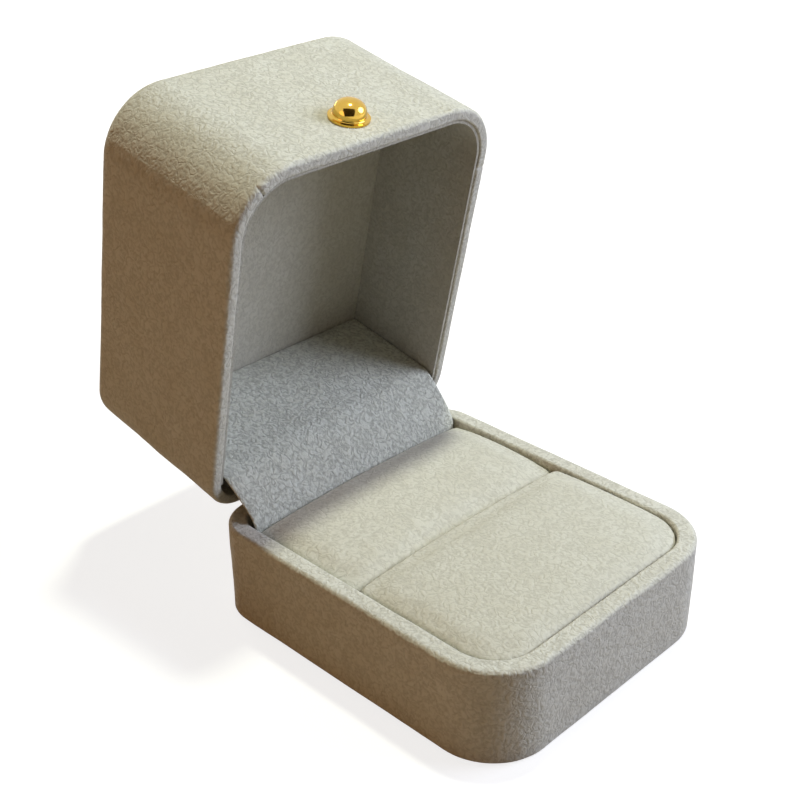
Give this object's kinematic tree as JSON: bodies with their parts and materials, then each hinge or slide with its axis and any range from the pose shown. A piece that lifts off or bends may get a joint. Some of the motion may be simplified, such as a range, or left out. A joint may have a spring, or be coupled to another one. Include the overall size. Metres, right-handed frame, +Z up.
{
  "type": "ring box",
  "caption": "Cloth-covered ring presentation box: hinged lid with a round knob, padded ring insert split by a slit, cloth flap over the sprung hinge.",
  "frame": {"origin": "middle of the underside of the base, on the surface that the box stands on", "axes": "+Z up; the knob side of the shut box faces -Y and the hinge is at +Y; +X along the hinge"},
  "size_m": [0.056, 0.0953, 0.086],
  "materials": {
    "moulding": "moulded, hidden under the cloth",
    "cover_cloth": "pale warm grey microfibre with a fine pebbled grain",
    "felt": "plain felt",
    "board": "plain grey-brown board",
    "pad": "pale warm grey microfibre over foam",
    "flap_cloth": "pale grey microfibre, grain showing",
    "lining_cloth": "pale warm grey microfibre on card",
    "foam": "open foam, hidden",
    "hinge_steel": "bright rolled steel strip",
    "knob_gold": "polished, gold coloured"
  },
  "bodies": {
    "base": {"base_shell": "moulding", "base_cover": "cover_cloth", "base_underlay": "felt", "insert_card": "board", "rear_pad": "pad", "front_pad": "pad", "base_hinge_leaf": "hinge_steel", "hinge_pin": "hinge_steel", "hinge_spring": "hinge_steel", "base_rivets": "hinge_steel", "hinge_flap": "flap_cloth"},
    "lid": {"lid_hinge_leaf": "hinge_steel", "lid_rivets": "hinge_steel", "lid_shell": "moulding", "lid_cover": "cover_cloth", "lid_side_lining": "lining_cloth", "lid_rear_lining": "lining_cloth", "lid_roof_lining": "lining_cloth", "lid_foam": "foam", "knob": "knob_gold", "knob_nut": "hinge_steel"}
  },
  "joints": [
    {"name": "lid_hinge", "type": "hinge", "parent": "base", "child": "lid", "pos_m": [0, 0.03175, 0.0175], "axis": [1, 0, 0], "range_deg": [0, 78], "deforming": ["hinge_flap"]}
  ]
}
